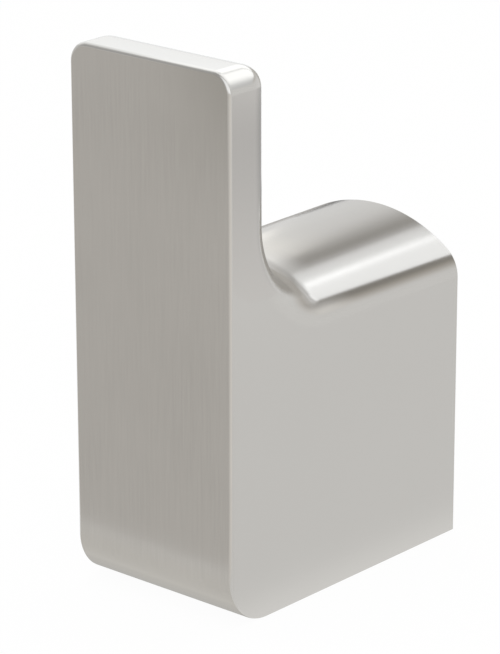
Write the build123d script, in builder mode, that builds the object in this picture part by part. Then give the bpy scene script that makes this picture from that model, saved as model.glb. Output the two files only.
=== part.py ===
"""Robe hook: a cast body that hangs on a hidden wall bracket and is locked from below by a grub screw.

The origin lies on the wall plane, midway between the two wall screws. +Y points into the wall, so
the front face looks along -Y, and +Z is up. Sizes are in millimetres.
"""

import os

from build123d import *

# Cast body, outside
DEPTH = 34.0  # wall plane to the front face
FRONT_WIDTH = 20.0  # across the front face
REAR_WIDTH = 21.3  # across the arm at the wall, where the draft of the casting ends
PLATE_THICKNESS = 6.5  # front face to the back of the plate
PLATE_RISE = 22.0  # plate's top above the crest of the arm
CREST_RADIUS = 15.75  # arch across the arm
THROAT_RADIUS = 7.25  # hollow between the plate and the arm, where the robe hangs
REAR_EDGE_RADIUS = 3.4  # round edge along the plate's back, the throat and the arm's shoulders
TOP_CORNER_RADIUS = 2.1  # plate's top corners, seen from the front
TOE_RADIUS = 5.0  # front face into the underside
FRONT_EDGE_RADIUS = 0.4  # fine break round the front face

# Pocket cored out of the back
FRONT_WALL = 10.0  # front face to the pocket
FLOOR_THICKNESS = 4.0  # underside to the pocket's floor
ROOF_THICKNESS = 3.9  # pocket's roof to the crest of the arm
POCKET_CORNER_RADIUS = 1.5
RAIL_DEPTH = 5.0  # rail over the pocket's mouth, which drops behind the catch lip

# Wall bracket, folded from strip
STRIP_WIDTH = 13.6
STRIP_THICKNESS = 1.5
STRIP_CORNER_RADIUS = 1.5
BEND_RADIUS = 0.8  # inside of each fold
BRACKET_HEIGHT = 20.0  # over both flanges
LOWER_FLANGE_REACH = 9.0  # wall plane to the flange's tip
LIP_HEIGHT = 2.2  # catch lip above the upper flange
SCREW_HOLE_DIAMETER = 4.5
SCREW_HOLE_SPACING = 9.0

# Grub screw
GRUB_DIAMETER = 4.0
GRUB_SETBACK = 5.5  # wall plane to the screw's axis
GRUB_RECESS = 0.5  # underside to the screw's socket end
GRUB_CHAMFER = 0.5
SOCKET_ACROSS_FLATS = 2.0
SOCKET_DEPTH = 2.0
HOLE_LEAD_IN = 0.4  # countersink round the tapped hole's mouth

# Clearances
STRIP_SIDE_CLEARANCE = 0.2  # bracket's edges to the pocket's walls
RAIL_CLEARANCE = 0.2  # rail to the fold below the catch lip
LIP_CLEARANCE = 0.4  # catch lip to the pocket's roof
LIFT_CLEARANCE = 0.3  # spare height when the rail is lifted over the catch lip
THREAD_CLEARANCE = 0.05  # screw to the wall of its hole

# Levels and places that follow from the sizes above
WALL_Y = 0.0
FRONT_Y = WALL_Y - DEPTH
PLATE_BACK_Y = FRONT_Y + PLATE_THICKNESS
POCKET_DEPTH = DEPTH - FRONT_WALL
LIP_BACK_Y = WALL_Y - RAIL_DEPTH - BEND_RADIUS - RAIL_CLEARANCE
GRUB_Y = WALL_Y - GRUB_SETBACK

BRACKET_TOP_Z = BRACKET_HEIGHT / 2
BRACKET_BOTTOM_Z = -BRACKET_HEIGHT / 2
FLOOR_Z = BRACKET_BOTTOM_Z - LIP_HEIGHT - LIFT_CLEARANCE
UNDERSIDE_Z = FLOOR_Z - FLOOR_THICKNESS
ROOF_Z = BRACKET_TOP_Z + LIP_HEIGHT + LIP_CLEARANCE
CREST_Z = ROOF_Z + ROOF_THICKNESS
TOP_Z = CREST_Z + PLATE_RISE
ARCH_AXIS_Z = CREST_Z - CREST_RADIUS
GRUB_END_Z = UNDERSIDE_Z + GRUB_RECESS

POCKET_WIDTH = STRIP_WIDTH + 2 * STRIP_SIDE_CLEARANCE
TAPPED_HOLE_RADIUS = GRUB_DIAMETER / 2 + THREAD_CLEARANCE
CUT_RADIUS = TOP_Z - ARCH_AXIS_Z + REAR_WIDTH  # well outside the plate's top corners
CUT_OVERRUN = THROAT_RADIUS  # past the wall plane


def outer_planes(part):
    """The flat faces of the casting that its edge rounds are found from."""
    flats = part.faces().filter_by(GeomType.PLANE)
    sides = flats.sort_by(Axis.X)
    levels = flats.filter_by(Axis.Z).sort_by(Axis.Z)
    fronts = flats.filter_by(Axis.Y).sort_by(Axis.Y)
    return {
        "sides": sides[:1] + sides[-1:],
        "underside": levels[:1],
        "top": levels[-1:],
        "front": fronts[:1],
        "plate_back": fronts[1:2],
    }


# Cast body

with BuildPart() as hook_body:
    # Plan of the casting: its sides spread from the front face to the wall
    with BuildSketch(Plane.XY.offset(UNDERSIDE_Z)):
        with BuildLine():
            Polyline(
                (-FRONT_WIDTH / 2, FRONT_Y),
                (FRONT_WIDTH / 2, FRONT_Y),
                (REAR_WIDTH / 2, WALL_Y),
                (-REAR_WIDTH / 2, WALL_Y),
                close=True,
            )
        make_face()
    extrude(amount=TOP_Z - UNDERSIDE_Z)

    # One profile, turned about the axis of the arch, leaves the plate's back, the throat and the arm
    with BuildSketch(Plane.XY.offset(ARCH_AXIS_Z)):
        with BuildLine():
            plate_foot = (CREST_RADIUS + THROAT_RADIUS, PLATE_BACK_Y)
            arm_root = (CREST_RADIUS, PLATE_BACK_Y + THROAT_RADIUS)
            RadiusArc(plate_foot, arm_root, THROAT_RADIUS)
            Polyline(
                arm_root,
                (CREST_RADIUS, WALL_Y + CUT_OVERRUN),
                (CUT_RADIUS, WALL_Y + CUT_OVERRUN),
                (CUT_RADIUS, PLATE_BACK_Y),
                plate_foot,
            )
        make_face()
    revolve(axis=Axis((0, 0, ARCH_AXIS_Z), (0, -1, 0)), revolution_arc=180, mode=Mode.SUBTRACT)

    # Round edge that runs over the plate's back, down through the throat and along the shoulders
    outside = outer_planes(hook_body)
    throat = hook_body.faces().filter_by(GeomType.TORUS)
    arm_top = hook_body.faces().filter_by(GeomType.CYLINDER)
    hanging_side = outside["plate_back"] + throat + arm_top
    rear_edges = hanging_side.edges() & (outside["sides"] + outside["top"]).edges()
    fillet(rear_edges, radius=REAR_EDGE_RADIUS)

    # Plate's top corners, and the toe below the front face
    outside = outer_planes(hook_body)
    fillet(outside["top"].edges() & outside["sides"].edges(), radius=TOP_CORNER_RADIUS)
    outside = outer_planes(hook_body)
    fillet(outside["front"].edges() & outside["underside"].edges(), radius=TOE_RADIUS)

    # Fine break round the front face, which runs on round the toe and under the sides
    front_outline = outer_planes(hook_body)["front"].edges().sort_by(Axis.Z)
    fillet(front_outline[1:], radius=FRONT_EDGE_RADIUS)

    # Pocket: its mouth ends under the rail, and the room behind the rail takes the catch lip
    with BuildSketch(Plane.XZ.offset(-WALL_Y)):
        with Locations((0, (BRACKET_TOP_Z + FLOOR_Z) / 2)):
            mouth = Rectangle(POCKET_WIDTH, BRACKET_TOP_Z - FLOOR_Z)
        fillet(mouth.vertices().group_by(Axis.Y)[0], radius=POCKET_CORNER_RADIUS)
    extrude(amount=POCKET_DEPTH, mode=Mode.SUBTRACT)
    with BuildSketch(Plane.XZ.offset(RAIL_DEPTH - WALL_Y)):
        with Locations((0, (ROOF_Z + FLOOR_Z) / 2)):
            RectangleRounded(POCKET_WIDTH, ROOF_Z - FLOOR_Z, POCKET_CORNER_RADIUS)
    extrude(amount=POCKET_DEPTH - RAIL_DEPTH, mode=Mode.SUBTRACT)

    # Tapped hole up through the floor, for the grub screw
    with Locations(Plane((0, GRUB_Y, UNDERSIDE_Z), z_dir=(0, 0, -1))):
        CounterSinkHole(
            radius=TAPPED_HOLE_RADIUS,
            counter_sink_radius=TAPPED_HOLE_RADIUS + HOLE_LEAD_IN,
            depth=FLOOR_THICKNESS,
            counter_sink_angle=90,
        )

# Wall bracket

with BuildPart() as wall_bracket:
    # Side view of the strip: lower flange, back against the wall, upper flange and catch lip
    with BuildSketch(Plane.YZ):
        with BuildLine():
            FilletPolyline(
                (WALL_Y - LOWER_FLANGE_REACH, BRACKET_BOTTOM_Z + STRIP_THICKNESS / 2),
                (WALL_Y - STRIP_THICKNESS / 2, BRACKET_BOTTOM_Z + STRIP_THICKNESS / 2),
                (WALL_Y - STRIP_THICKNESS / 2, BRACKET_TOP_Z - STRIP_THICKNESS / 2),
                (LIP_BACK_Y - STRIP_THICKNESS / 2, BRACKET_TOP_Z - STRIP_THICKNESS / 2),
                (LIP_BACK_Y - STRIP_THICKNESS / 2, BRACKET_TOP_Z + LIP_HEIGHT),
                radius=BEND_RADIUS + STRIP_THICKNESS / 2,
            )
        trace(line_width=STRIP_THICKNESS)
    extrude(amount=STRIP_WIDTH / 2, both=True)

    # Holes for the wall screws, through the back
    with BuildSketch(Plane.XZ.offset(-WALL_Y)):
        with GridLocations(0, SCREW_HOLE_SPACING, 1, 2):
            Circle(SCREW_HOLE_DIAMETER / 2)
    extrude(amount=STRIP_THICKNESS, mode=Mode.SUBTRACT)

    # Corners of the strip's two ends
    flange_corners = wall_bracket.edges().filter_by(Axis.Z).group_by(Axis.Y)[0]
    lip_corners = wall_bracket.edges().filter_by(Axis.Y).group_by(Axis.Z)[-1]
    fillet(flange_corners + lip_corners, radius=STRIP_CORNER_RADIUS)

# Grub screw

with BuildPart() as grub_screw:
    # Plain shank from the socket end to the flange that it bears on
    with BuildSketch(Plane.XY.offset(GRUB_END_Z)):
        with Locations((0, GRUB_Y)):
            Circle(GRUB_DIAMETER / 2)
    extrude(amount=BRACKET_BOTTOM_Z - GRUB_END_Z)
    chamfer(grub_screw.edges().filter_by(GeomType.CIRCLE), length=GRUB_CHAMFER)

    # Hexagon socket in the lower end
    with BuildSketch(Plane.XY.offset(GRUB_END_Z)):
        with Locations((0, GRUB_Y)):
            RegularPolygon(SOCKET_ACROSS_FLATS / 2, 6, major_radius=False)
    extrude(amount=SOCKET_DEPTH, mode=Mode.SUBTRACT)

os.makedirs("parts", exist_ok=True)

hook_body.part.label = "hook_body"
export_step(hook_body.part, "parts/hook_body.step")

wall_bracket.part.label = "wall_bracket"
export_step(wall_bracket.part, "parts/wall_bracket.step")

grub_screw.part.label = "grub_screw"
export_step(grub_screw.part, "parts/grub_screw.step")
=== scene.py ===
"""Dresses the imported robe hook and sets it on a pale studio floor.

Everything is in metres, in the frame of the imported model: the origin lies on the wall plane, midway
between the two wall screws, +Y points into the wall, so the front face looks along -Y, and +Z is up.
"""

import math

import bmesh
import bpy
from bpy.props import FloatProperty, FloatVectorProperty, PointerProperty
from mathutils import Euler, Matrix, Vector


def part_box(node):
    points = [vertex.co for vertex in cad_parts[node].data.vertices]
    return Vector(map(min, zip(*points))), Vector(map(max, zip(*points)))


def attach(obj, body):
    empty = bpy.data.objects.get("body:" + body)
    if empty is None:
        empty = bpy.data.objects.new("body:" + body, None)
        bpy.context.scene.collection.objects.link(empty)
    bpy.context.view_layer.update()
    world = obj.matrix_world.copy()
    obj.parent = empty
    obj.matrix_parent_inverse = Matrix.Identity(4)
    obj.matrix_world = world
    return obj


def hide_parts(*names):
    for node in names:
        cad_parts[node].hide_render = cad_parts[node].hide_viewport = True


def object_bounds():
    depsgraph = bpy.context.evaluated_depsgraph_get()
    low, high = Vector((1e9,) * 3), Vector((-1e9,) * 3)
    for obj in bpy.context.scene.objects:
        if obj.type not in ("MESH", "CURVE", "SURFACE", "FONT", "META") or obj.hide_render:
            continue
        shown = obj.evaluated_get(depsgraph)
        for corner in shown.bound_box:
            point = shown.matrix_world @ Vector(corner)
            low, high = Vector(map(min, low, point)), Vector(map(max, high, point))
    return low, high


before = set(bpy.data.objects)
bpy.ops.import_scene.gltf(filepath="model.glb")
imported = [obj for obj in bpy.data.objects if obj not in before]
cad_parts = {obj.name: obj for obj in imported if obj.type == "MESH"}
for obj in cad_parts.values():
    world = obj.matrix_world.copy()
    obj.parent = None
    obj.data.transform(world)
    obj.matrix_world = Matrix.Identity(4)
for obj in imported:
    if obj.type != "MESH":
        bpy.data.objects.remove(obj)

bl_info = {
    "name": "Robe hook",
    "version": (1, 0, 0),
    "blender": (4, 5, 0),
    "location": "View3D > Sidebar > Robe hook",
    "description": "Builds a cast robe hook with its wall bracket, grub screw and studio stage",
    "category": "Add Mesh",
}

MM = 0.001
CAD_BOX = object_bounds()
BODY_LOW, BODY_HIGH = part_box("hook_body")
_, BRACKET_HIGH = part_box("wall_bracket")
SCREW_LOW, SCREW_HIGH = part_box("grub_screw")
SCREW_Y = (SCREW_LOW[1] + SCREW_HIGH[1]) / 2
TO_WALL = Vector((0.0, 1.0, 0.0))
UP = Vector((0.0, 0.0, 1.0))
WELD = 0.0002 * MM  # points closer than this are one point
SAME_WAY = 1 - 1e-9  # cosine above which two directions are one
LIP_ABOVE = 2.2 * MM  # catch lip above the bracket's upper flange

# Fineness of the cast body's skin
ARM_ROWS = 8
THROAT_ROWS = 28
HANGING_COLUMNS = 48
REAR_STEPS = 24
CORNER_STEPS = 14
TOE_STEPS = 20
FRONT_STEPS = 5

# Fineness of the pocket, the hole and the screw
POCKET_CORNER_STEPS = 8
ROUND_STEPS = 48
THREAD_STEPS = 40  # for each turn
HEXAGON = 6

# Angles between faces
FLAT_LIMIT = math.radians(0.5)  # below it, two faces of the strip are one flat
CAST_EDGE = math.radians(35)  # above it, an edge of the casting is broken
STRIP_EDGE = math.radians(40)  # above it, an edge of the strip is broken
SCREW_EDGE = math.radians(30)  # above it, an edge of the screw is shaded sharp

# Shape of the grub screw
THREAD_INSET = 1.5  # thread's ends from the screw's ends, in chamfers
FLANK_SHARE = 0.42  # half the thread's foot, as a share of the pitch
DRILL_POINT = 0.4  # cone at the socket's end, as a share of half its width


def linear(hex_colour):
    """Linear red, green and blue of an sRGB hex colour."""
    channels = [int(hex_colour[i:i + 2], 16) / 255 for i in (0, 2, 4)]
    return tuple(c / 12.92 if c <= 0.04045 else ((c + 0.055) / 1.055) ** 2.4 for c in channels)


def length(name, millimetres, description):
    """A length that can be changed in the sidebar. Blender keeps it in metres."""
    return FloatProperty(name=name, description=description, default=millimetres * MM, min=0.0,
                         precision=5, subtype="DISTANCE", unit="LENGTH")


def angle(name, degrees, description):
    """An angle that can be changed in the sidebar. Blender keeps it in radians."""
    return FloatProperty(name=name, description=description, default=math.radians(degrees),
                         subtype="ANGLE", unit="ROTATION")


def colour(name, hex_colour, description):
    """A colour that can be changed in the sidebar."""
    return FloatVectorProperty(name=name, description=description, default=linear(hex_colour), size=3,
                               min=0.0, max=1.0, subtype="COLOR")


class CastBodySettings(bpy.types.PropertyGroup):
    """Sizes of the cast body that the frame's box doesn't give."""

    front_width: length("Front width", 20.0, "Across the front face, where the casting is narrowest")
    plate_thickness: length("Plate thickness", 6.5, "Front face to the back of the plate")
    plate_rise: length("Plate rise", 22.0, "Plate's top above the crest of the arm")
    crest_radius: length("Crest radius", 15.75, "Arch across the arm")
    throat_radius: length("Throat radius", 7.25, "Hollow between the plate and the arm")
    rear_edge_radius: length("Rear edge radius", 3.4, "Round edge along plate, throat and shoulders")
    top_corner_radius: length("Top corner radius", 2.1, "Plate's top corners, seen from the front")
    toe_radius: length("Toe radius", 5.0, "Front face into the underside")
    front_edge_radius: length("Front edge radius", 0.4, "Fine break round the front face")
    under_edge_radius: length("Under edge radius", 0.1, "Sharper break along the underside")
    pocket_width: length("Pocket width", 14.0, "Across the pocket in the back")
    pocket_depth: length("Pocket depth", 24.0, "Wall plane to the end of the pocket")
    pocket_corner_radius: length("Pocket corner radius", 1.5, "Cored corners of the pocket")
    floor_thickness: length("Floor thickness", 4.0, "Underside to the pocket's floor")
    roof_thickness: length("Roof thickness", 3.9, "Pocket's roof to the crest of the arm")
    rail_depth: length("Rail depth", 5.0, "Rail over the pocket's mouth, along the arm")
    hole_radius: length("Hole radius", 2.05, "Tapped hole for the grub screw")
    hole_lead_in: length("Hole lead-in", 0.4, "Countersink round the tapped hole")
    arris: length("Arris", 0.04, "Break that plating leaves on the edges at the wall and the pocket")


class BracketSettings(bpy.types.PropertyGroup):
    """Finish of the wall bracket's cut edges."""

    arris: length("Arris", 0.15, "Break that tumbling leaves on the cut edges of the strip")


class GrubScrewSettings(bpy.types.PropertyGroup):
    """Sizes of the grub screw's thread, points and socket."""

    pitch: length("Pitch", 0.7, "Thread pitch of an M4 screw")
    thread_depth: length("Thread depth", 0.38, "Crest to root of the thread")
    chamfer: length("Chamfer", 0.5, "Chamfer at both ends")
    socket_across_flats: length("Socket across flats", 2.0, "Key size of the hexagon socket")
    socket_depth: length("Socket depth", 2.0, "Depth of the hexagon socket")


class FinishSettings(bpy.types.PropertyGroup):
    """Colours of the three metals, and the scale of their marks."""

    nickel: colour("Nickel", "C2C0BC", "Plated nickel, a slightly warm white metal")
    nickel_worn: colour("Nickel, streaks", "B2B0AC", "Nickel in the brushed lines")
    stainless: colour("Stainless", "BFC0C1", "Rolled stainless strip")
    screw_steel: colour("Screw steel", "A9AAAD", "Stainless set screw, passivated")
    brush_width: length("Brush width", 0.16, "Width of a brushed line")
    brush_length: length("Brush length", 5.0, "Length of a brushed line")


class StageSettings(bpy.types.PropertyGroup):
    """Camera and floor."""

    azimuth: angle("Azimuth", 40.612, "Camera, round the object from the front to the right")
    elevation: angle("Elevation", 19.259, "Camera, above the horizon")
    roll: angle("Roll", -0.074, "Camera, about its line of sight")
    lens: FloatProperty(name="Lens", description="Focal length on a 36 mm wide sensor", default=183.70,
                        min=1.0, subtype="DISTANCE_CAMERA")
    floor_colour: colour("Floor", "F4F4F3", "Pale matt floor")


# Helpers

def settings():
    """The hook's own settings on the scene."""
    return bpy.context.scene.robe_hook


def new_object(name, bm):
    """Makes an object of a bmesh and links it to the scene."""
    mesh = bpy.data.meshes.new(name)
    bm.to_mesh(mesh)
    bm.free()
    obj = bpy.data.objects.new(name, mesh)
    bpy.context.scene.collection.objects.link(obj)
    return obj


def bake_modifiers(obj):
    """Leaves an object with the plain mesh that its modifiers give."""
    graph = bpy.context.evaluated_depsgraph_get()
    mesh = bpy.data.meshes.new_from_object(obj.evaluated_get(graph), depsgraph=graph)
    old = obj.data
    obj.modifiers.clear()
    obj.data = mesh
    mesh.name = obj.name
    bpy.data.meshes.remove(old)


def weld(obj):
    """Joins points that a cut has left in one place, and drops the faces of no area between them."""
    bm = bmesh.new()
    bm.from_mesh(obj.data)
    bmesh.ops.remove_doubles(bm, verts=bm.verts, dist=WELD)
    bmesh.ops.dissolve_degenerate(bm, dist=WELD, edges=bm.edges)
    bm.to_mesh(obj.data)
    bm.free()


def finish_edges(obj, arris, limit):
    """Breaks the sharp edges and shades flats flat and rounds round."""
    bevel = obj.modifiers.new("arris", "BEVEL")
    bevel.width = arris
    bevel.segments = 2
    bevel.limit_method = "ANGLE"
    bevel.angle_limit = limit
    bevel.use_clamp_overlap = True
    bevel.miter_outer = "MITER_ARC"
    bake_modifiers(obj)
    # The larger a face, the more it turns the shading at its corners, so flats look flat to their edges
    mesh = obj.data
    mesh.polygons.foreach_set("use_smooth", [True] * len(mesh.polygons))
    normals = [Vector() for _ in mesh.vertices]
    for face in mesh.polygons:
        for index in face.vertices:
            normals[index] += face.area / MM ** 2 * face.normal
    mesh.normals_split_custom_set_from_vertices([normal.normalized() for normal in normals])


def add_node(tree, kind, values=None, links=None, **attributes):
    """Adds a node, sets its attributes and socket values, and links other sockets into it."""
    node = tree.nodes.new(kind)
    for name, value in attributes.items():
        setattr(node, name, value)
    for socket, value in (values or {}).items():
        node.inputs[socket].default_value = value
    for socket, source in (links or {}).items():
        tree.links.new(source, node.inputs[socket])
    return node


def new_material(name):
    """A material with an empty node tree and its output node."""
    material = bpy.data.materials.new(name)
    material.use_nodes = True
    material.node_tree.nodes.clear()
    return material, material.node_tree, add_node(material.node_tree, "ShaderNodeOutputMaterial")


# Finishes

LINES_FULL, LINES_FAINT = 0.1 * MM, 0.5 * MM  # behind the front face, where the brushed lines fade
FAINT_LINES = 0.2  # share of the lines that is left on the other faces
LINE_ROUGHNESS = 0.10  # roughness that a full line adds
PATCH_WIDTH = 9 * MM
MILL_LINE_WIDTH, MILL_LINE_LENGTH = 0.2 * MM, 6 * MM
MILL_LINE_SHADE = 0.86  # brightness of the strip in the mill's lines
SPECK_WIDTH = 0.25 * MM
SPECK_SHADE = 0.8  # brightness of the screw in its specks


def brushed_nickel():
    """Satin nickel plate on a zinc casting, brushed upright and then buffed soft."""
    # The plate mirrors its surroundings softly. Fine upright lines show on the front face, which is
    # brushed last. A mop has smoothed the other faces and the rounds, where the lines hardly show.
    finish = settings().finish
    material, tree, output = new_material("brushed_nickel")
    place = add_node(tree, "ShaderNodeTexCoord")
    axes = add_node(tree, "ShaderNodeSeparateXYZ", None, {"Vector": place.outputs["Object"]})
    front = add_node(tree, "ShaderNodeMapRange",
                     {"From Min": BODY_LOW[1] + LINES_FAINT, "From Max": BODY_LOW[1] + LINES_FULL,
                      "To Min": FAINT_LINES, "To Max": 1.0}, {"Value": axes.outputs["Y"]})
    # Real lines are a few hundredths of a millimetre wide, so they are drawn coarser to show
    lines = add_node(tree, "ShaderNodeMapping",
                     {"Scale": (1 / finish.brush_width, 1 / finish.brush_width, 1 / finish.brush_length)},
                     {"Vector": place.outputs["Object"]})
    brush = add_node(tree, "ShaderNodeTexNoise", {"Scale": 1.0, "Detail": 3.0, "Roughness": 0.55},
                     {"Vector": lines.outputs["Vector"]})
    # Plating and buffing leave soft patches, where the lines fade
    patches = add_node(tree, "ShaderNodeTexNoise", {"Scale": 1 / PATCH_WIDTH, "Detail": 2.0},
                       {"Vector": place.outputs["Object"]})
    worn = add_node(tree, "ShaderNodeMath", None, {0: front.outputs["Result"], 1: patches.outputs["Fac"]},
                    operation="MULTIPLY")
    shown = add_node(tree, "ShaderNodeMath", None, {0: brush.outputs["Fac"], 1: worn.outputs["Value"]},
                     operation="MULTIPLY")
    tint = add_node(tree, "ShaderNodeMix", {"A": (*finish.nickel, 1), "B": (*finish.nickel_worn, 1)},
                    {"Factor": shown.outputs["Value"]}, data_type="RGBA")
    soft = add_node(tree, "ShaderNodeMapRange",
                    {"From Min": 0.3, "From Max": 0.7, "To Min": 0.155, "To Max": 0.175},
                    {"Value": patches.outputs["Fac"]})
    rough = add_node(tree, "ShaderNodeMath", {1: LINE_ROUGHNESS},
                     {0: shown.outputs["Value"], 2: soft.outputs["Result"]}, operation="MULTIPLY_ADD")
    grooves = add_node(tree, "ShaderNodeBump", {"Strength": 0.12, "Distance": 0.004 * MM},
                       {"Height": shown.outputs["Value"]})
    metal = add_node(tree, "ShaderNodeBsdfPrincipled", {"Metallic": 1.0},
                     {"Base Color": tint.outputs["Result"], "Roughness": rough.outputs["Value"],
                      "Normal": grooves.outputs["Normal"]})
    tree.links.new(metal.outputs["BSDF"], output.inputs["Surface"])
    return material


def rolled_stainless():
    """Cold rolled stainless strip with the fine lines of the mill running along it."""
    # A grey, fairly bright sheen with faint lines
    finish = settings().finish
    material, tree, output = new_material("rolled_stainless")
    place = add_node(tree, "ShaderNodeTexCoord")
    lines = add_node(tree, "ShaderNodeMapping",
                     {"Scale": (1 / MILL_LINE_WIDTH, 1 / MILL_LINE_LENGTH, 1 / MILL_LINE_LENGTH)},
                     {"Vector": place.outputs["Object"]})
    mill = add_node(tree, "ShaderNodeTexNoise", {"Scale": 1.0, "Detail": 3.0, "Roughness": 0.6},
                    {"Vector": lines.outputs["Vector"]})
    tint = add_node(tree, "ShaderNodeMix",
                    {"A": (*[MILL_LINE_SHADE * c for c in finish.stainless], 1),
                     "B": (*finish.stainless, 1)},
                    {"Factor": mill.outputs["Fac"]}, data_type="RGBA")
    rough = add_node(tree, "ShaderNodeMapRange",
                     {"From Min": 0.3, "From Max": 0.7, "To Min": 0.28, "To Max": 0.38},
                     {"Value": mill.outputs["Fac"]})
    grooves = add_node(tree, "ShaderNodeBump", {"Strength": 0.4, "Distance": 0.006 * MM},
                       {"Height": mill.outputs["Fac"]})
    metal = add_node(tree, "ShaderNodeBsdfPrincipled", {"Metallic": 1.0},
                     {"Base Color": tint.outputs["Result"], "Roughness": rough.outputs["Result"],
                      "Normal": grooves.outputs["Normal"]})
    tree.links.new(metal.outputs["BSDF"], output.inputs["Surface"])
    return material


def screw_steel():
    """Stainless set screw, rolled and passivated."""
    # Darker and duller than the strip, with a faint speckle from the rolled thread
    finish = settings().finish
    material, tree, output = new_material("screw_steel")
    place = add_node(tree, "ShaderNodeTexCoord")
    speckle = add_node(tree, "ShaderNodeTexNoise", {"Scale": 1 / SPECK_WIDTH, "Detail": 4.0},
                       {"Vector": place.outputs["Object"]})
    tint = add_node(tree, "ShaderNodeMix",
                    {"A": (*[SPECK_SHADE * c for c in finish.screw_steel], 1),
                     "B": (*finish.screw_steel, 1)},
                    {"Factor": speckle.outputs["Fac"]}, data_type="RGBA")
    rough = add_node(tree, "ShaderNodeMapRange",
                     {"From Min": 0.3, "From Max": 0.7, "To Min": 0.32, "To Max": 0.42},
                     {"Value": speckle.outputs["Fac"]})
    metal = add_node(tree, "ShaderNodeBsdfPrincipled", {"Metallic": 1.0},
                     {"Base Color": tint.outputs["Result"], "Roughness": rough.outputs["Result"]})
    tree.links.new(metal.outputs["BSDF"], output.inputs["Surface"])
    return material


# Cast body

def arc(centre, first, last, radius, fractions):
    """Points on a ball from one unit direction to another."""
    if first.dot(last) > SAME_WAY:
        return [centre + radius * first for _ in fractions]
    return [centre + radius * first.slerp(last, f) for f in fractions]


def even(steps):
    """Fractions from 0 to 1 in even steps."""
    return [i / steps for i in range(steps + 1)]


def mirrored(points):
    """The same points on the left half."""
    return [Vector((-p.x, p.y, p.z)) for p in points]


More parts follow.
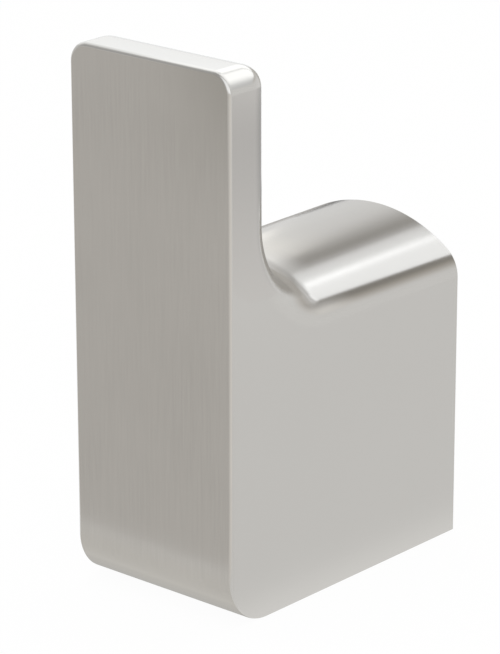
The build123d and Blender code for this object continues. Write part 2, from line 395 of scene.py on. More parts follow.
class BodySkin:
    """The outside of the casting, patch by patch, from balls that roll along its edges."""

    def __init__(self, sizes):
        self.sizes = sizes
        self.bm = bmesh.new()
        self.front, self.wall = BODY_LOW[1], BODY_HIGH[1]
        self.underside, self.top = BODY_LOW[2], BODY_HIGH[2]
        self.plate_back = self.front + sizes.plate_thickness
        self.arm_root = self.plate_back + sizes.throat_radius
        self.axis_z = self.top - sizes.plate_rise - sizes.crest_radius
        self.spread = (BODY_HIGH[0] - sizes.front_width / 2) / (self.wall - self.front)
        self.side = Vector((1.0, -self.spread, 0.0)).normalized()

    def inset(self, y, depth):
        """x of the right side at y, moved into the metal by depth."""
        return self.sizes.front_width / 2 + self.spread * (y - self.front) - depth / self.side.x

    def sheet(self, rows):
        """Quads between rows of points."""
        grid = [[self.bm.verts.new(p) for p in row] for row in rows]
        for upper, lower in zip(grid, grid[1:]):
            for i in range(len(upper) - 1):
                self.bm.faces.new((upper[i], upper[i + 1], lower[i + 1], lower[i]))

    def both(self, rows):
        """The same sheet on the right and on the left."""
        self.sheet(rows)
        self.sheet([mirrored(row) for row in rows])

    def flat(self, loop):
        """One flat face round a loop of points."""
        kept = [p for p, q in zip(loop, loop[1:] + loop[:1]) if (p - q).length > WELD]
        self.bm.faces.new([self.bm.verts.new(p) for p in kept])

    def rear(self):
        """Arm, throat, plate's back, their round edge and the top corner.

        Returns the points of the edge, the hollow, the corner and the crown, which other patches join.
        """
        sizes, radius = self.sizes, self.sizes.rear_edge_radius
        draft = math.atan(self.spread)
        turns = [math.pi / 2 * (1 - f) for f in even(REAR_STEPS)] + [-draft]
        fractions = [(math.pi / 2 - t) / (math.pi / 2 + draft) for t in turns]
        along = [(0.0, self.wall + (self.arm_root - self.wall) * f) for f in even(ARM_ROWS)]
        along += [(math.pi / 2 * f, None) for f in even(THROAT_ROWS)[1:]]
        edge, hanging = [], []
        for turn, y in along:
            if y is None:
                y = self.arm_root - (sizes.throat_radius + radius) * math.sin(turn)
            reach = (sizes.crest_radius + sizes.throat_radius
                     - (sizes.throat_radius + radius) * math.cos(turn))
            x = self.inset(y, radius)
            lean = math.asin(x / reach)
            outward = Vector((math.sin(lean), 0.0, math.cos(lean)))
            normal = outward * math.cos(turn) + TO_WALL * math.sin(turn)
            edge.append(arc(Vector((x, y, self.axis_z + reach * math.cos(lean))), normal, self.side,
                            radius, fractions))
            far = reach + radius * math.cos(turn)
            hanging.append([Vector((far * math.sin(a), y + radius * math.sin(turn),
                                    self.axis_z + far * math.cos(a)))
                            for a in [lean * (2 * f - 1) for f in even(HANGING_COLUMNS)]])
        self.sheet(hanging)
        self.both(edge)

        # Plate's back edge and top corner: the corner ball runs inside the two rear rounds
        corner = sizes.top_corner_radius
        gap = radius - corner
        post = Vector((self.inset(self.plate_back - radius, radius), self.plate_back - radius,
                       self.top - radius))
        crown, knuckle, rim = [], [], []
        for turn in turns:
            over = max(turn, 0.0)
            outward = Vector((math.cos(turn), math.sin(turn), 0.0))
            upward = Vector((0.0, math.sin(over), math.cos(over)))
            centre = post + gap * outward + Vector((0.0, 0.0, gap * math.cos(over)))
            knuckle.append(arc(centre, outward, upward, corner, even(CORNER_STEPS)))
            crown.append(centre + corner * upward)
            rim.append(centre + corner * outward)
        self.both([edge[-1], rim])
        self.both(knuckle)
        self.sheet([[p, m] for p, m in zip(crown[:-1], mirrored(crown[:-1]))])
        self.flat(hanging[-1] + [crown[0]] + mirrored(crown[:1]))
        return edge, hanging, knuckle, crown

    def build(self):
        """Joins all patches into one closed skin."""
        sizes, fine, sharp = self.sizes, self.sizes.front_edge_radius, self.sizes.under_edge_radius
        edge, hanging, knuckle, crown = self.rear()

        # Fine break: along the underside, round the toe, up the front and round the top corner
        ball, down, ahead = [], -UP, -TO_WALL
        for y in (self.wall, self.front + sizes.toe_radius):
            centre = Vector((self.inset(y, sharp), y, self.underside + sharp))
            ball.append((centre, down, self.side, sharp))
        for f in even(TOE_STEPS)[1:]:
            out, radius = down.slerp(ahead, f), sharp + (fine - sharp) * f
            centre = (Vector((0.0, self.front + sizes.toe_radius, self.underside + sizes.toe_radius))
                      + (sizes.toe_radius - radius) * out)
            centre.x = self.inset(centre.y, radius)
            ball.append((centre, out, self.side, radius))
        corner = sizes.top_corner_radius
        for f in even(CORNER_STEPS):
            out = self.side.slerp(UP, f)
            y = self.front + fine - (corner - fine) * out.y
            axis = Vector((self.inset(y, corner), y, self.top - corner))
            ball.append((axis + (corner - fine) * out, ahead, out, fine))
        rows = [arc(centre, first, last, radius, even(FRONT_STEPS))
                for centre, first, last, radius in ball]
        self.both(rows)
        self.sheet([rows[-1], mirrored(rows[-1])])

        toe_end = 1 + TOE_STEPS
        inner = [row[0] for row in rows]
        outer = [row[-1] for row in rows]
        self.sheet([[p, m] for p, m in zip(inner[1:toe_end + 1], mirrored(inner[1:toe_end + 1]))])
        self.flat(inner[toe_end:] + mirrored(inner[toe_end:])[::-1])
        self.flat(inner[:2] + mirrored(inner[:2])[::-1])
        corner_start = toe_end + 1
        self.both([outer[corner_start:], knuckle[-1]])
        self.flat([outer[-1], crown[-1], crown[-2]] + mirrored([outer[-1], crown[-1], crown[-2]])[::-1])
        side = outer[:corner_start + 1] + [knuckle[-1][0]] + [row[-1] for row in edge[::-1]]
        self.flat(side)
        self.flat(mirrored(side))
        right = rows[0] + edge[0][::-1]
        self.flat(right + hanging[0][::-1] + mirrored(right)[::-1])

        bmesh.ops.remove_doubles(self.bm, verts=self.bm.verts, dist=WELD)
        bmesh.ops.recalc_face_normals(self.bm, faces=self.bm.faces)
        if any(not e.is_manifold for e in self.bm.edges):
            raise RuntimeError("the cast body's skin isn't closed")
        return self.bm


def rounded_outline(half_width, low, high, low_radius, high_radius):
    """Outline of a pocket in x and z, with its lower and upper corners rounded."""
    points = []
    for x, z, radius, start in ((half_width, low, low_radius, -90), (half_width, high, high_radius, 0),
                                (-half_width, high, high_radius, 90), (-half_width, low, low_radius, 180)):
        if radius == 0.0:
            points.append((x, z))
            continue
        cx, cz = x - math.copysign(radius, x), z + (radius if z == low else -radius)
        for f in even(POCKET_CORNER_STEPS):
            a = math.radians(start + 90 * f)
            points.append((cx + radius * math.cos(a), cz + radius * math.sin(a)))
    return points


def prism(name, outline, near, far):
    """A cutter of that outline from one depth to another."""
    bm = bmesh.new()
    rings = [[bm.verts.new((x, y, z)) for x, z in outline] for y in (near, far)]
    count = len(outline)
    for i in range(count):
        bm.faces.new((rings[0][i], rings[0][(i + 1) % count], rings[1][(i + 1) % count], rings[1][i]))
    bm.faces.new(rings[0])
    bm.faces.new(rings[1])
    bmesh.ops.recalc_face_normals(bm, faces=bm.faces)
    return new_object(name, bm)


def turned(name, profile, steps):
    """Turns a profile of (radius, height) about the screw's upright axis, closed at both ends."""
    bm = bmesh.new()
    rings = []
    for radius, z in profile:
        if radius == 0.0:
            rings.append([bm.verts.new((0.0, SCREW_Y, z))])
        else:
            rings.append([bm.verts.new((radius * math.cos(2 * math.pi * i / steps),
                                        SCREW_Y + radius * math.sin(2 * math.pi * i / steps), z))
                          for i in range(steps)])
    for lower, upper in zip(rings, rings[1:]):
        for i in range(steps):
            j = (i + 1) % steps
            loop = [lower[i % len(lower)], lower[j % len(lower)],
                    upper[j % len(upper)], upper[i % len(upper)]]
            bm.faces.new(list(dict.fromkeys(loop)))
    bmesh.ops.recalc_face_normals(bm, faces=bm.faces)
    return new_object(name, bm)


def cut_away(obj, cutters):
    """Cuts other objects out of one and removes them."""
    for cutter in cutters:
        cut = obj.modifiers.new(cutter.name, "BOOLEAN")
        cut.operation = "DIFFERENCE"
        cut.solver = "EXACT"
        cut.object = cutter
    bake_modifiers(obj)
    for cutter in cutters:
        bpy.data.meshes.remove(cutter.data)


class ROBEHOOK_OT_cast_body(bpy.types.Operator):
    """Build the cast body with its pocket and tapped hole"""

    bl_idname = "robe_hook.cast_body"
    bl_label = "Cast body"

    def execute(self, context):
        sizes = settings().body
        body = new_object("cast_body", BodySkin(sizes).build())

        # Pocket: the mouth ends under the rail, and the room behind the rail takes the catch lip
        half = sizes.pocket_width / 2
        floor = BODY_LOW[2] + sizes.floor_thickness
        roof = BODY_HIGH[2] - sizes.plate_rise - sizes.roof_thickness
        rail = BODY_HIGH[1] - sizes.rail_depth
        end = BODY_HIGH[1] - sizes.pocket_depth
        soft = sizes.pocket_corner_radius
        overrun = 1 * MM
        room = prism("pocket_room", rounded_outline(half, floor, roof, soft, soft), end, rail)
        mouth = prism("pocket_mouth",
                      rounded_outline(half, floor, BRACKET_HIGH[2] - LIP_ABOVE, soft, 0.0),
                      rail - overrun, BODY_HIGH[1] + overrun)

        # Tapped hole: the lead-in's cone starts as far below the underside as it ends above it
        radius, lead = sizes.hole_radius, sizes.hole_lead_in
        low, high = BODY_LOW[2], floor + overrun
        hole = turned("screw_hole", [(0.0, low - lead), (radius + 2 * lead, low - lead),
                                     (radius, low + lead), (radius, high), (0.0, high)], ROUND_STEPS)
        cut_away(body, [room, mouth, hole])
        finish_edges(body, sizes.arris, CAST_EDGE)
        body.data.materials.clear()
        body.data.materials.append(brushed_nickel())
        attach(body, "root")
        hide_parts("hook_body")
        return {"FINISHED"}


# Wall bracket and grub screw

class ROBEHOOK_OT_wall_bracket(bpy.types.Operator):
    """Build the folded wall bracket with softened cut edges"""

    bl_idname = "robe_hook.wall_bracket"
    bl_label = "Wall bracket"

    def execute(self, context):
        bm = bmesh.new()
        bm.from_mesh(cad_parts["wall_bracket"].data)
        bmesh.ops.remove_doubles(bm, verts=bm.verts, dist=WELD)
        bmesh.ops.dissolve_limit(bm, angle_limit=FLAT_LIMIT, verts=bm.verts, edges=bm.edges)
        bracket = new_object("folded_bracket", bm)
        finish_edges(bracket, settings().bracket.arris, STRIP_EDGE)
        bracket.data.materials.clear()
        bracket.data.materials.append(rolled_stainless())
        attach(bracket, "root")
        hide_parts("wall_bracket")
        return {"FINISHED"}


def thread_tree(material):
    """Geometry nodes that wind a right-handed ridge round the screw's core."""
    tree = bpy.data.node_groups.new("rolled_thread", "GeometryNodeTree")
    face = tree.interface
    face.new_socket("Geometry", in_out="OUTPUT", socket_type="NodeSocketGeometry")
    face.new_socket("Core", in_out="INPUT", socket_type="NodeSocketGeometry")
    for name in ("Root radius", "Thread depth", "Pitch", "Height"):
        face.new_socket(name, in_out="INPUT", socket_type="NodeSocketFloat")
    face.new_socket("Place", in_out="INPUT", socket_type="NodeSocketVector")
    given = add_node(tree, "NodeGroupInput")
    made = add_node(tree, "NodeGroupOutput")
    turns = add_node(tree, "ShaderNodeMath", None,
                     {0: given.outputs["Height"], 1: given.outputs["Pitch"]}, operation="DIVIDE")
    helix = add_node(tree, "GeometryNodeCurveSpiral", {"Resolution": THREAD_STEPS, "Reverse": True},
                     {"Rotations": turns.outputs["Value"], "Start Radius": given.outputs["Root radius"],
                      "End Radius": given.outputs["Root radius"], "Height": given.outputs["Height"]})
    upright = add_node(tree, "GeometryNodeSetCurveNormal", None, {"Curve": helix.outputs["Curve"]},
                       mode="Z_UP")
    flank = add_node(tree, "ShaderNodeMath", {1: FLANK_SHARE}, {0: given.outputs["Pitch"]},
                     operation="MULTIPLY")
    profile = add_node(tree, "GeometryNodeCurvePrimitiveCircle", {"Resolution": 3, "Radius": 1.0})
    placed = add_node(tree, "GeometryNodeSetPosition", None, {"Geometry": profile.outputs["Curve"]})
    index = add_node(tree, "GeometryNodeInputIndex")
    crest = add_node(tree, "FunctionNodeCompare", {"B": 0}, {"A": index.outputs["Index"]},
                     data_type="INT", operation="EQUAL")
    upper = add_node(tree, "FunctionNodeCompare", {"B": 1}, {"A": index.outputs["Index"]},
                     data_type="INT", operation="EQUAL")
    minus = add_node(tree, "ShaderNodeMath", {1: -1.0}, {0: flank.outputs["Value"]}, operation="MULTIPLY")
    tip = add_node(tree, "ShaderNodeCombineXYZ", None, {"X": given.outputs["Thread depth"]})
    top = add_node(tree, "ShaderNodeCombineXYZ", None, {"Y": flank.outputs["Value"]})
    foot = add_node(tree, "ShaderNodeCombineXYZ", None, {"Y": minus.outputs["Value"]})
    ends = add_node(tree, "GeometryNodeSwitch", None,
                    {"Switch": upper.outputs["Result"], "False": foot.outputs["Vector"],
                     "True": top.outputs["Vector"]}, input_type="VECTOR")
    spot = add_node(tree, "GeometryNodeSwitch", None,
                    {"Switch": crest.outputs["Result"], "False": ends.outputs["Output"],
                     "True": tip.outputs["Vector"]}, input_type="VECTOR")
    tree.links.new(spot.outputs["Output"], placed.inputs["Position"])
    ridge = add_node(tree, "GeometryNodeCurveToMesh", {"Fill Caps": True},
                     {"Curve": upright.outputs["Curve"], "Profile Curve": placed.outputs["Geometry"]})
    moved = add_node(tree, "GeometryNodeTransform", None,
                     {"Geometry": ridge.outputs["Mesh"], "Translation": given.outputs["Place"]})
    joined = add_node(tree, "GeometryNodeJoinGeometry")
    tree.links.new(given.outputs["Core"], joined.inputs["Geometry"])
    tree.links.new(moved.outputs["Geometry"], joined.inputs["Geometry"])
    real = add_node(tree, "GeometryNodeRealizeInstances", None, {"Geometry": joined.outputs["Geometry"]})
    coated = add_node(tree, "GeometryNodeSetMaterial", {"Material": material},
                      {"Geometry": real.outputs["Geometry"]})
    tree.links.new(coated.outputs["Geometry"], made.inputs["Geometry"])
    return tree


class ROBEHOOK_OT_grub_screw(bpy.types.Operator):
    """Build the grub screw with its hexagon socket and rolled thread"""

    bl_idname = "robe_hook.grub_screw"
    bl_label = "Grub screw"

    def execute(self, context):
        sizes = settings().screw
        low, high = SCREW_LOW[2], SCREW_HIGH[2]
        crest = (SCREW_HIGH[0] - SCREW_LOW[0]) / 2
        root = crest - sizes.thread_depth
        tip = crest - sizes.chamfer
        screw = turned("threaded_grub_screw",
                       [(0.0, low), (tip, low), (root, low + sizes.chamfer), (root, high - sizes.chamfer),
                        (tip, high), (0.0, high)], ROUND_STEPS)
        flat = sizes.socket_across_flats / 2
        corner = flat / math.cos(math.pi / HEXAGON)
        end = low + sizes.socket_depth
        key = turned("key", [(0.0, low - sizes.chamfer), (corner, low - sizes.chamfer), (corner, end),
                             (0.0, end + DRILL_POINT * flat)], HEXAGON)
        cut_away(screw, [key])
        weld(screw)

        material = screw_steel()
        thread = screw.modifiers.new("thread", "NODES")
        thread.node_group = thread_tree(material)
        inset = THREAD_INSET * sizes.chamfer
        inputs = {"Root radius": root, "Thread depth": sizes.thread_depth, "Pitch": sizes.pitch,
                  "Height": high - low - 2 * inset, "Place": (0.0, SCREW_Y, low + inset)}
        for item in thread.node_group.interface.items_tree:
            if item.in_out == "INPUT" and item.name in inputs:
                thread[item.identifier] = inputs[item.name]
        bake_modifiers(screw)
        mesh = screw.data
        mesh.polygons.foreach_set("use_smooth", [True] * len(mesh.polygons))
        mesh.set_sharp_from_angle(angle=SCREW_EDGE)
        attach(screw, "root")
        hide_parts("grub_screw")
        return {"FINISHED"}


# Stage

HOOK_MIDDLE = Vector([(low + high) / 2 for low, high in zip(*CAD_BOX)])
CAMERA_PLACE = Vector((201.043, -254.052, 116.230)) * MM
SENSOR_WIDTH = 36.0
CLIP_NEAR, CLIP_FAR = 0.01, 20.0
FLOOR_RADIUS, FLOOR_SIDES = 4.0, 64
FLOOR_WHITE = 0.96  # share of plain white in the floor that the camera and the metal see

# Brightness of the studio's walls by the sine of the height above the horizon, where 1 is a white sheet
RIGHT_WALL = ((0.0, 1.0), (0.09, 0.98), (0.17, 0.89), (0.235, 0.76), (0.30, 0.64), (0.37, 0.51),
              (0.42, 0.41), (0.485, 0.33), (0.75, 0.34), (0.95, 0.9))
LEFT_WALL = ((0.0, 0.87), (0.12, 0.89), (0.22, 0.94), (0.60, 0.95), (0.75, 0.6), (0.95, 0.9))
FRONT_WALL = ((0.0, 0.62), (0.5, 0.58), (0.75, 0.5), (0.95, 0.9))
# The left and front walls begin and are full at these x and y of a direction's unit vector, and the
# right wall's tint at these z
LEFT_WALL_FROM = (-0.2, -0.55)
FRONT_WALL_FROM = (-0.4, -0.6)
WALL_TINT_FROM = (0.1, 0.36)
WALL_TINT = "FFF9F0"

# Soft boxes: azimuth and elevation in degrees, distance, width and height in metres, and level
SOFTBOXES = {
    "back_softbox": (12.1, 42.2, 1.8, 0.736, 0.59, 0.995),
    "back_softbox_edge": (-3.1, 43.5, 1.8, 0.09, 0.54, 0.76),
    "back_softbox_dim": (-9.5, 43.5, 1.8, 0.264, 0.54, 0.75),
    "back_softbox_dim_edge": (-17.0, 43.5, 1.8, 0.105, 0.54, 0.16),
    "back_softbox_fade": (6.9, 31.0, 1.8, 1.118, 0.315, 0.36),
    "back_softbox_foot": (7.6, 24.0, 1.8, 1.14, 0.30, 0.22),
    "back_softbox_left": (-17.5, 27.5, 1.8, 0.252, 0.284, 0.15),
    "camera_softbox": (145.0, 26.0, 0.7, 1.09, 0.68, 0.80),
    "overhead_softbox": (0.0, 88.0, 0.8, 0.8, 0.8, 1.0),
}
BOX_TINT = "F5F9FF"

# Brightness of two papers by the turn round a post, where 0 is 90 degrees left of straight ahead and 1 is
# 90 degrees right, and by the distance from it in tenths of a metre
# The front paper lies on the floor ahead of the hook and is painted shade: the hook's shadow on the floor and
# the darker front of the room, dim straight ahead and to the left, full to the right
FRONT_POST = (0, -34, -16)
FRONT_FLOOR_SHADE_TURN = ((0.0, 0.665), (0.48, 0.665), (0.54, 0.715), (0.605, 0.79), (0.717, 0.895),
                    (0.83, 0.97), (0.94, 1.0))
SIDE_POST = (7, -30, 15)
SIDE_PAPER_RADIUS = 88
SIDE_PAPER_ARC = range(75, -34, -6)  # degrees to the right of straight ahead
SIDE_PAPER_TURN = ((0.25, 0.05), (0.33, 0.15), (0.38, 0.36), (0.42, 0.56), (0.46, 0.65), (0.50, 0.72),
                   (0.54, 0.78), (0.58, 0.85), (0.62, 0.92), (0.67, 1.0))
SIDE_PAPER_REACH = ((0.05, 0.95), (0.32, 0.86), (0.60, 0.755), (0.68, 0.77), (0.74, 0.825), (0.84, 0.95))

# Brightness and cover of the other papers by the place in millimetres
TOP_PAPER_ACROSS = ((-60, 0.765), (-16, 0.765), (-12, 0.85), (-9, 0.97), (2.6, 1.0), (4.1, 0.97),
                    (5.6, 0.62), (7.1, 0.95), (8.6, 1.0), (17, 1.0), (22, 0.85), (30, 0.62), (40, 0.57),
                    (80, 0.55))
TOP_PAPER_ALONG = ((-38, 0.78), (-35.5, 0.83), (-31, 0.93), (-20, 1.0), (-8, 1.0), (-2, 0.94), (10, 0.88),
                   (45, 0.88))
THROAT_PAPER_ACROSS = ((-14, 1.0), (-2, 1.0), (-1, 0.93), (0, 0.8), (1, 0.69), (2, 0.62), (3.2, 0.58),
                       (4, 0.6))
THROAT_PAPER_COVER = ((20.3, 0.0), (22.2, 1.0), (34, 1.0))
SHOULDER_PAPER_ACROSS = ((11, 0.62), (12.5, 0.6), (13.5, 0.64), (15.3, 0.8), (17, 0.95), (20, 1.0),
                         (34, 1.0))
SHOULDER_PAPER_COVER = ((11, 0.0), (13, 1.0), (34, 1.0))
SHOULDER_PAPER_SLANT = ((-40, 1.0), (-28, 1.0), (-24, 0.0))
BASE_PAPER_ACROSS = ((10, 1.0), (12.5, 0.945), (15, 0.89), (18, 0.865), (60, 0.865), (85, 0.89))
# The toe flag's brightness along y is painted contact shadow: dimmer than the white floor ahead of the toe,
# and dimmest under it
TOE_CONTACT_SHADOW_ALONG = ((-44, 1.0), (-33.6, 1.0), (-32.9, 0.9), (-32.4, 0.87), (-32.1, 0.81), (-31.7, 0.75),
                  (-31.3, 0.69), (-30, 0.52), (-26, 0.46))
BACK_FLAG_ACROSS = ((-75, 1.0), (-45, 1.0), (-18, 0.55), (5, 0.0))
BACK_FLAG_UP = ((-16, 1.0), (42, 1.0), (88, 0.0))
FRONT_VEIL_ACROSS = ((-26, 0.0), (-20, 0.25), (-15, 0.65), (-10, 1.0), (2, 0.0))
FRONT_VEIL_UP = ((14, 0.0), (19, 0.18), (23, 0.5), (27, 0.82), (32, 1.0), (45, 1.0))


def place_camera(scene):
    """Camera at the angle and the distance of the picture that the hook follows."""
    stage = settings().stage
    lens = bpy.data.cameras.new("camera")
    lens.sensor_width, lens.lens = SENSOR_WIDTH, stage.lens
    lens.clip_start, lens.clip_end = CLIP_NEAR, CLIP_FAR
    camera = bpy.data.objects.new("camera", lens)
    turn = Euler((math.pi / 2 - stage.elevation, 0.0, stage.azimuth)).to_matrix()
    camera.matrix_world = (Matrix.Translation(CAMERA_PLACE)
                           @ (turn @ Matrix.Rotation(stage.roll, 3, "Z")).to_4x4())
    scene.collection.objects.link(camera)
    scene.camera = camera


def studio_floor():
    """Pale matt floor that reads as white paper and keeps a soft shadow."""
    material, tree, output = new_material("studio_floor")
    path = add_node(tree, "ShaderNodeLightPath").outputs
    seen = add_node(tree, "ShaderNodeMath", None, {0: path["Is Camera Ray"], 1: path["Is Glossy Ray"]},
                    operation="MAXIMUM")
    through = add_node(tree, "ShaderNodeMath", None,
                       {0: seen.outputs["Value"], 1: path["Is Transmission Ray"]}, operation="MAXIMUM")
    share = add_node(tree, "ShaderNodeMath", {1: FLOOR_WHITE}, {0: through.outputs["Value"]},
                     operation="MULTIPLY")
    matt = add_node(tree, "ShaderNodeBsdfDiffuse", {"Color": (*settings().stage.floor_colour, 1)})
    white = add_node(tree, "ShaderNodeEmission", {"Color": (1, 1, 1, 1), "Strength": 1.0})
    mixed = add_node(tree, "ShaderNodeMixShader", None,
                     {0: share.outputs["Value"], 1: matt.outputs["BSDF"], 2: white.outputs["Emission"]})
    tree.links.new(mixed.outputs["Shader"], output.inputs["Surface"])
    return material


def lay_floor():
    """Round floor at the height of the hook's underside."""
    bm = bmesh.new()
    bmesh.ops.create_circle(bm, cap_ends=True, radius=FLOOR_RADIUS, segments=FLOOR_SIDES,
                            matrix=Matrix.Translation((0.0, 0.0, BODY_LOW[2])))
    floor = new_object("floor", bm)
    floor.data.materials.append(studio_floor())


def grey_ramp(tree, source, stops):
    """Greys along a value, through pairs of position and brightness."""
    ramp = add_node(tree, "ShaderNodeValToRGB", None, {"Fac": source})
    while len(ramp.color_ramp.elements) < len(stops):
        ramp.color_ramp.elements.new(1.0)
    for element, (position, grey) in zip(ramp.color_ramp.elements, stops):
        element.position = position
        element.color = (grey, grey, grey, 1.0)
    return ramp.outputs["Color"]


def multiplied(tree, first, second):
    """Product of two colours."""
    return add_node(tree, "ShaderNodeMix", {"Factor": 1.0}, {"A": first, "B": second}, data_type="RGBA",
                    blend_type="MULTIPLY").outputs["Result"]


def studio_walls():
    """World with a right, a left and a front wall, each with its own brightness by height."""
    world = bpy.data.worlds.new("studio")
    world.use_nodes = True
    tree = world.node_tree
    tree.nodes.clear()
    place = add_node(tree, "ShaderNodeTexCoord")
    axes = add_node(tree, "ShaderNodeSeparateXYZ", None, {"Vector": place.outputs["Generated"]})
    right, left, front = [grey_ramp(tree, axes.outputs["Z"], levels)
                          for levels in (RIGHT_WALL, LEFT_WALL, FRONT_WALL)]

    def share(axis, begins_and_full, blend):
        begins, full = begins_and_full
        return add_node(tree, "ShaderNodeMapRange", {"From Min": begins, "From Max": full},
                        {"Value": axes.outputs[axis]}, interpolation_type=blend).outputs["Result"]

    tint = add_node(tree, "ShaderNodeMix", {"A": (1, 1, 1, 1), "B": (*linear(WALL_TINT), 1)},
                    {"Factor": share("Z", WALL_TINT_FROM, "LINEAR")}, data_type="RGBA")
    warm = multiplied(tree, right, tint.outputs["Result"])
    sides = add_node(tree, "ShaderNodeMix", None,
                     {"Factor": share("X", LEFT_WALL_FROM, "SMOOTHSTEP"), "A": warm, "B": left},
                     data_type="RGBA")
    room = add_node(tree, "ShaderNodeMix", None,
                    {"Factor": share("Y", FRONT_WALL_FROM, "SMOOTHSTEP"), "A": sides.outputs["Result"],
                     "B": front}, data_type="RGBA")
    sky = add_node(tree, "ShaderNodeBackground", None, {"Color": room.outputs["Result"]})
    add_node(tree, "ShaderNodeOutputWorld", None, {"Surface": sky.outputs["Background"]})
    return world


def towards(azimuth, elevation):
    """Unit direction: azimuth from the wall side (+Y) towards the right (+X), elevation upwards."""
    a, e = math.radians(azimuth), math.radians(elevation)
    return Vector((math.sin(a) * math.cos(e), math.cos(a) * math.cos(e), math.sin(e)))


def softbox(name, azimuth, elevation, distance, width, height, level):
    """A square-on area light that adds level, where 1 is a white sheet, to what is seen behind it."""
    lamp = bpy.data.lights.new(name, "AREA")
    lamp.shape = "RECTANGLE"
    lamp.size, lamp.size_y = width, height
    lamp.energy = level * 4 * width * height
    lamp.color = linear(BOX_TINT)
    obj = bpy.data.objects.new(name, lamp)
    obj.location = HOOK_MIDDLE + distance * towards(azimuth, elevation)
    obj.rotation_euler = (obj.location - HOOK_MIDDLE).to_track_quat("Z", "Y").to_euler()
    obj.visible_camera = False
    bpy.context.scene.collection.objects.link(obj)


def by_place(**stops):
    """Grading by X, Y, Z or the slant Y - X, each with pairs of millimetres and brightness."""
    def grading(tree, place):
        axes = add_node(tree, "ShaderNodeSeparateXYZ", None, {"Vector": place}).outputs
        result = None
        for axis, pairs in stops.items():
            if axis == "SLANT":
                value = add_node(tree, "ShaderNodeMath", None, {0: axes["Y"], 1: axes["X"]},
                                 operation="SUBTRACT").outputs["Value"]
            else:
                value = axes[axis]
            first, last = pairs[0][0], pairs[-1][0]
            share = add_node(tree, "ShaderNodeMapRange", {"From Min": first * MM, "From Max": last * MM},
                             {"Value": value})
            shares = [((at - first) / (last - first), grey) for at, grey in pairs]
            ramp = grey_ramp(tree, share.outputs["Result"], shares)
            result = multiplied(tree, result, ramp) if result else ramp
        return result
    return grading


def round_a_post(post, ahead, turns, reaches=None):
    """Grading by the angle round a post, from straight ahead, and by the distance from it."""
    def grading(tree, place):
        offset = add_node(tree, "ShaderNodeVectorMath", {1: Vector(post) * MM}, {0: place},
                          operation="SUBTRACT").outputs["Vector"]
        axes = add_node(tree, "ShaderNodeSeparateXYZ", None, {"Vector": offset}).outputs
        depth = add_node(tree, "ShaderNodeMath", {1: ahead}, {0: axes["Y"]}, operation="MULTIPLY")
        turn = add_node(tree, "ShaderNodeMath", None, {0: axes["X"], 1: depth.outputs["Value"]},
                        operation="ARCTAN2")
        share = add_node(tree, "ShaderNodeMapRange", {"From Min": -math.pi / 2, "From Max": math.pi / 2},
                         {"Value": turn.outputs["Value"]})
        by_turn = grey_ramp(tree, share.outputs["Result"], turns)
        if reaches is None:
            return by_turn
        reach = add_node(tree, "ShaderNodeVectorMath", None, {0: offset}, operation="LENGTH")
        tenths = add_node(tree, "ShaderNodeMath", {1: 100 * MM}, {0: reach.outputs["Value"]},
                          operation="DIVIDE")
        return multiplied(tree, by_turn, grey_ramp(tree, tenths.outputs["Value"], reaches))
    return grading


def paper(name, corners, tint, level=1.0, grading=None, cover=None, seen_from=None):
    """A lit sheet of paper that only the metal's reflections show. At level 1 it is a white sheet.

    A grading varies its brightness, a cover fades it to clear, and it may be seen from above or from
    below alone. Its corners are in millimetres.
    """
    bm = bmesh.new()
    face = bm.faces.new([bm.verts.new(Vector(corner) * MM) for corner in corners])
    face.normal_update()
    if face.normal.z < 0:
        face.normal_flip()
    obj = new_object(name, bm)
    material, tree, output = new_material(name)
    place = add_node(tree, "ShaderNodeTexCoord").outputs["Object"]
    shade = (*linear(tint), 1)
    glow = add_node(tree, "ShaderNodeEmission", {"Color": shade, "Strength": level})
    if grading:
        tinted = add_node(tree, "ShaderNodeMix", {"Factor": 1.0, "B": shade}, {"A": grading(tree, place)},
                          data_type="RGBA", blend_type="MULTIPLY")
        tree.links.new(tinted.outputs["Result"], glow.inputs["Color"])
    sheet = glow.outputs["Emission"]
    if seen_from or cover:
        clear = add_node(tree, "ShaderNodeBsdfTransparent").outputs["BSDF"]
    if seen_from:
        below = add_node(tree, "ShaderNodeNewGeometry").outputs["Backfacing"]
        front, back = (sheet, clear) if seen_from == "above" else (clear, sheet)
        sheet = add_node(tree, "ShaderNodeMixShader", None,
                         {0: below, 1: front, 2: back}).outputs["Shader"]
    if cover:
        sheet = add_node(tree, "ShaderNodeMixShader", None,
                         {0: cover(tree, place), 1: clear, 2: sheet}).outputs["Shader"]
    tree.links.new(sheet, output.inputs["Surface"])
    obj.data.materials.append(material)
    obj.visible_camera = obj.visible_diffuse = obj.visible_shadow = obj.visible_transmission = False


def level_sheet(outline, height):
    """Corners of a level sheet."""
    return [(x, y, height) for x, y in outline]


def upright_sheet(y, left, right, low, high):
    """Corners of an upright sheet that faces along the y axis."""
    return [(left, y, low), (right, y, low), (right, y, high), (left, y, high)]


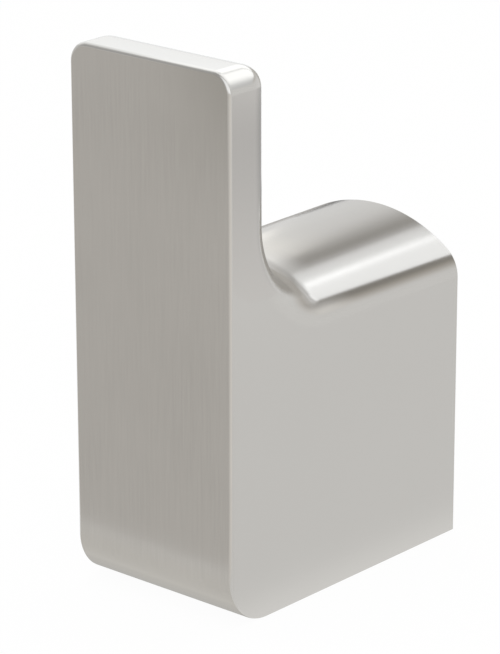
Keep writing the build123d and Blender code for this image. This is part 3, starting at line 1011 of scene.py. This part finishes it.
def hang_papers():
    """Hangs the papers, flags and cards round the hook, each for the face or the round that mirrors it."""
    # Toe flag: painted contact shadow on the floor under and ahead of the toe, which the toe's rounds mirror
    paper("toe_contact_shadow", level_sheet([(-20, -44), (9.8, -44), (9.8, -26), (-9, -26), (-13, -33.3),
                                   (-20, -33.3)], -16.4),
          "FFFDF9", 0.863, by_place(Y=TOE_CONTACT_SHADOW_ALONG))
    paper("back_flag", [(-75, 118, -16), (5, 132, -16), (5, 132, 88), (-40, 124, 88), (-75, 118, 45)],
          "C5C2BC", cover=by_place(X=BACK_FLAG_ACROSS, Z=BACK_FLAG_UP))
    paper("left_back_flag", level_sheet([(-59, 64), (-275, 351), (-350, 281), (-74, 50)], -16), "BAB8B5")
    paper("left_card", [(-60, 14, 26), (-60, 48, 26), (-60, 54, 47), (-60, 59.5, 56), (-60, 75, 77),
                        (-60, 95, 101), (-60, 112, 120), (-60, 14, 120)], "FFFEFB", 1.43)
    paper("top_paper", level_sheet([(-60, -38), (80, -38), (80, 45), (28, 10), (-60, 10)], 50),
          "FBFDFF", 1.93, by_place(X=TOP_PAPER_ACROSS, Y=TOP_PAPER_ALONG))
    paper("top_rear_card", upright_sheet(-18, -40, 2, 34, 41.5), "FBFDFF", 1.1)
    paper("throat_paper", upright_sheet(-12, -14, 4, 20.3, 34), "FFFFFF", 1.38,
          by_place(X=THROAT_PAPER_ACROSS), by_place(Z=THROAT_PAPER_COVER))
    paper("shoulder_paper", level_sheet([(11, -26), (34, -26), (34, 10), (11, -13)], 16.5),
          "FFFEFC", 1.04, by_place(X=SHOULDER_PAPER_ACROSS),
          by_place(X=SHOULDER_PAPER_COVER, SLANT=SHOULDER_PAPER_SLANT), "below")
    # Front paper: painted shadow of the hook on the floor ahead, with the darker front of the room, as the
    # front face mirrors them
    paper("front_floor_shade", level_sheet([(-400, -44), (-400, -450), (400, -450), (400, -44)], FRONT_POST[2]),
          "FFFCF8", 1.1, round_a_post(FRONT_POST, -1, FRONT_FLOOR_SHADE_TURN))
    paper("front_veil", upright_sheet(-60, -26, 2, 14, 45),
          "BFBCB6", cover=by_place(X=FRONT_VEIL_ACROSS, Z=FRONT_VEIL_UP))
    x, y, height = SIDE_POST
    turns = [math.radians(turn) for turn in SIDE_PAPER_ARC]
    rim = [(x + SIDE_PAPER_RADIUS * math.sin(turn), y + SIDE_PAPER_RADIUS * math.cos(turn)) for turn in turns]
    paper("side_paper", level_sheet([*rim, (-13.8, 2), (12, 2), (12, -29)], height), "FFFEFE", 1.02,
          round_a_post(SIDE_POST, 1, SIDE_PAPER_TURN, SIDE_PAPER_REACH), seen_from="above")
    paper("base_paper", level_sheet([(10, -33), (10.7, 0.5), (10.7, 95), (85, 95), (85, -33)], -16.45),
          "FFFFFF", 1.11, by_place(X=BASE_PAPER_ACROSS))


class ROBEHOOK_OT_stage(bpy.types.Operator):
    """Set up the camera, the pale floor and the studio light"""

    bl_idname = "robe_hook.stage"
    bl_label = "Stage"

    def execute(self, context):
        scene = context.scene
        scene.view_settings.view_transform = "Standard"
        place_camera(scene)
        lay_floor()
        scene.world = studio_walls()
        for name, row in SOFTBOXES.items():
            softbox(name, *row)
        hang_papers()
        return {"FINISHED"}


# Sidebar and registration

class RobeHookSettings(bpy.types.PropertyGroup):
    """All settings of the hook."""

    body: PointerProperty(type=CastBodySettings, name="Cast body", description="Sizes of the casting")
    bracket: PointerProperty(type=BracketSettings, name="Wall bracket", description="Edges of the strip")
    screw: PointerProperty(type=GrubScrewSettings, name="Grub screw", description="Sizes of the screw")
    finish: PointerProperty(type=FinishSettings, name="Finishes", description="Colours and marks")
    stage: PointerProperty(type=StageSettings, name="Stage", description="Camera and floor")


class ROBEHOOK_PT_sidebar(bpy.types.Panel):
    """Lists the hook's pieces and their settings"""

    bl_idname = "ROBEHOOK_PT_sidebar"
    bl_label = "Robe hook"
    bl_space_type = "VIEW_3D"
    bl_region_type = "UI"
    bl_category = "Robe hook"

    def draw(self, context):
        for operator in OPERATORS:
            self.layout.operator(operator.bl_idname)
        for group in (settings().body, settings().bracket, settings().screw, settings().finish,
                      settings().stage):
            box = self.layout.box()
            for name in group.__annotations__:
                box.prop(group, name)


OPERATORS = (ROBEHOOK_OT_cast_body, ROBEHOOK_OT_wall_bracket, ROBEHOOK_OT_grub_screw, ROBEHOOK_OT_stage)
CLASSES = (CastBodySettings, BracketSettings, GrubScrewSettings, FinishSettings, StageSettings,
           RobeHookSettings, *OPERATORS, ROBEHOOK_PT_sidebar)


def register():
    for cls in CLASSES:
        bpy.utils.register_class(cls)
    bpy.types.Scene.robe_hook = PointerProperty(type=RobeHookSettings, name="Robe hook",
                                                description="Settings of the robe hook")


def unregister():
    del bpy.types.Scene.robe_hook
    for cls in reversed(CLASSES):
        bpy.utils.unregister_class(cls)


def main():
    """Builds the pieces and the stage."""
    register()
    bpy.ops.robe_hook.cast_body()
    bpy.ops.robe_hook.wall_bracket()
    bpy.ops.robe_hook.grub_screw()
    bpy.ops.robe_hook.stage()


if __name__ == "__main__":
    main()
